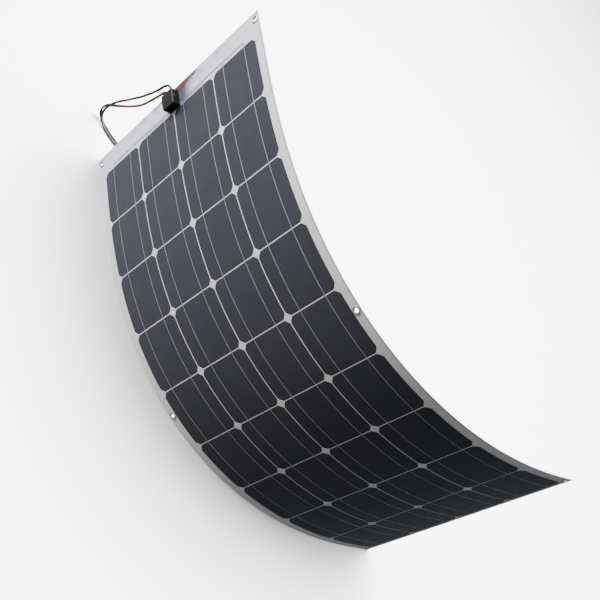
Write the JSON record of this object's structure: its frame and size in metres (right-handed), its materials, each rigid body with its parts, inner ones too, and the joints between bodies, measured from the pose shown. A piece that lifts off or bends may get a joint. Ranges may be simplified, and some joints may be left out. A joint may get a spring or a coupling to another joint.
{
  "type": "flexible solar sheet",
  "caption": "Thin bendable solar sheet with square monocrystalline cells, corner and side eyelets, and a small junction box with two short leads.",
  "frame": {"origin": "on the surface the sheet stands on, under the middle of its box seen from above, leads left out", "axes": "+X along the chord of the bend, from the junction box end to the far end; +Z across the sheet, from the long edge it stands on to the other; the cells face -Y"},
  "size_m": [1.1593, 0.3398, 0.544],
  "materials": {
    "back_sheet": "white polyester laminate, slight sheen",
    "front_film": "clear embossed film, semi-gloss",
    "cell": "dark blue-black monocrystalline silicon",
    "ribbon": "tinned copper ribbon",
    "eyelet": "nickel-plated eyelet",
    "box": "black moulded plastic",
    "board": "glass-fibre circuit board",
    "diode": "moulded black",
    "lead_black": "satin cable jacket",
    "lead_red": "satin cable jacket",
    "plug": "black moulded plastic"
  },
  "bodies": {
    "row_5": {"back_sheet": "back_sheet", "front_sheet": "front_film", "cell_row5_string1": "cell", "cell_row5_string2": "cell", "cell_row5_string3": "cell", "cell_row5_string4": "cell", "eyelet_middle_low": "eyelet", "eyelet_middle_high": "eyelet"},
    "row_4": {"cell_row4_string1": "cell", "cell_row4_string2": "cell", "cell_row4_string3": "cell", "cell_row4_string4": "cell"},
    "row_3": {"cell_row3_string1": "cell", "cell_row3_string2": "cell", "cell_row3_string3": "cell", "cell_row3_string4": "cell"},
    "row_2": {"cell_row2_string1": "cell", "cell_row2_string2": "cell", "cell_row2_string3": "cell", "cell_row2_string4": "cell"},
    "row_1": {"cell_row1_string1": "cell", "cell_row1_string2": "cell", "cell_row1_string3": "cell", "cell_row1_string4": "cell", "eyelet_box_end_low": "eyelet", "eyelet_box_end_high": "eyelet", "feed_ribbon_low": "ribbon", "feed_ribbon_high": "ribbon", "link_ribbon_box_end": "ribbon", "junction_box_base": "box", "terminal_board": "board", "bypass_diode": "diode", "lead_black": "lead_black", "lead_red": "lead_red", "lead_coil": "lead_black", "tail_black": "lead_black", "tail_red": "lead_red", "plug_black": "plug", "plug_red": "plug"},
    "row_6": {"cell_row6_string1": "cell", "cell_row6_string2": "cell", "cell_row6_string3": "cell", "cell_row6_string4": "cell"},
    "row_7": {"cell_row7_string1": "cell", "cell_row7_string2": "cell", "cell_row7_string3": "cell", "cell_row7_string4": "cell"},
    "row_8": {"cell_row8_string1": "cell", "cell_row8_string2": "cell", "cell_row8_string3": "cell", "cell_row8_string4": "cell"},
    "row_9": {"cell_row9_string1": "cell", "cell_row9_string2": "cell", "cell_row9_string3": "cell", "cell_row9_string4": "cell", "eyelet_far_end_low": "eyelet", "eyelet_far_end_high": "eyelet", "link_ribbon_far_low": "ribbon", "link_ribbon_far_high": "ribbon"},
    "box_lid": {"junction_box_lid": "box"}
  },
  "joints": [
    {"name": "bend_5_6", "type": "hinge", "parent": "row_5", "child": "row_6", "pos_m": [0.09354, -0.12717, 0], "axis": [0, 0, -1], "range_deg": [0, 13.04], "deforming": ["back_sheet", "front_sheet"]},
    {"name": "bend_6_7", "type": "hinge", "parent": "row_6", "child": "row_7", "pos_m": [0.21715, -0.09857, 0], "axis": [0, 0, -1], "range_deg": [0, 12.78]},
    {"name": "bend_7_8", "type": "hinge", "parent": "row_7", "child": "row_8", "pos_m": [0.33148, -0.0435, 0], "axis": [0, 0, -1], "range_deg": [0, 11.48]},
    {"name": "bend_8_9", "type": "hinge", "parent": "row_8", "child": "row_9", "pos_m": [0.43272, 0.03308, 0], "axis": [0, 0, -1], "range_deg": [0, 9.15]},
    {"name": "bend_4_5", "type": "hinge", "parent": "row_5", "child": "row_4", "pos_m": [-0.03333, -0.12723, 0], "axis": [0, 0, 1], "range_deg": [0, 12.39]},
    {"name": "bend_3_4", "type": "hinge", "parent": "row_4", "child": "row_3", "pos_m": [-0.15734, -0.10025, 0], "axis": [0, 0, 1], "range_deg": [0, 10.7]},
    {"name": "bend_2_3", "type": "hinge", "parent": "row_3", "child": "row_2", "pos_m": [-0.27431, -0.05088, 0], "axis": [0, 0, 1], "range_deg": [0, 7.99]},
    {"name": "bend_1_2", "type": "hinge", "parent": "row_2", "child": "row_1", "pos_m": [-0.38343, 0.01411, 0], "axis": [0, 0, 1], "range_deg": [0, 4.29]},
    {"name": "lid_lift", "type": "slide", "parent": "row_1", "child": "box_lid", "axis": [-0.5793, -0.8151, 0], "range_m": [0, 0.025]}
  ],
  "couplings": [
    {"joint": "bend_6_7", "follows": "bend_5_6", "ratio": 0.97623},
    {"joint": "bend_7_8", "follows": "bend_5_6", "ratio": 0.87653},
    {"joint": "bend_8_9", "follows": "bend_5_6", "ratio": 0.69785},
    {"joint": "bend_4_5", "follows": "bend_5_6", "ratio": 0.94632},
    {"joint": "bend_3_4", "follows": "bend_5_6", "ratio": 0.81672},
    {"joint": "bend_2_3", "follows": "bend_5_6", "ratio": 0.6089},
    {"joint": "bend_1_2", "follows": "bend_5_6", "ratio": 0.32515}
  ]
}
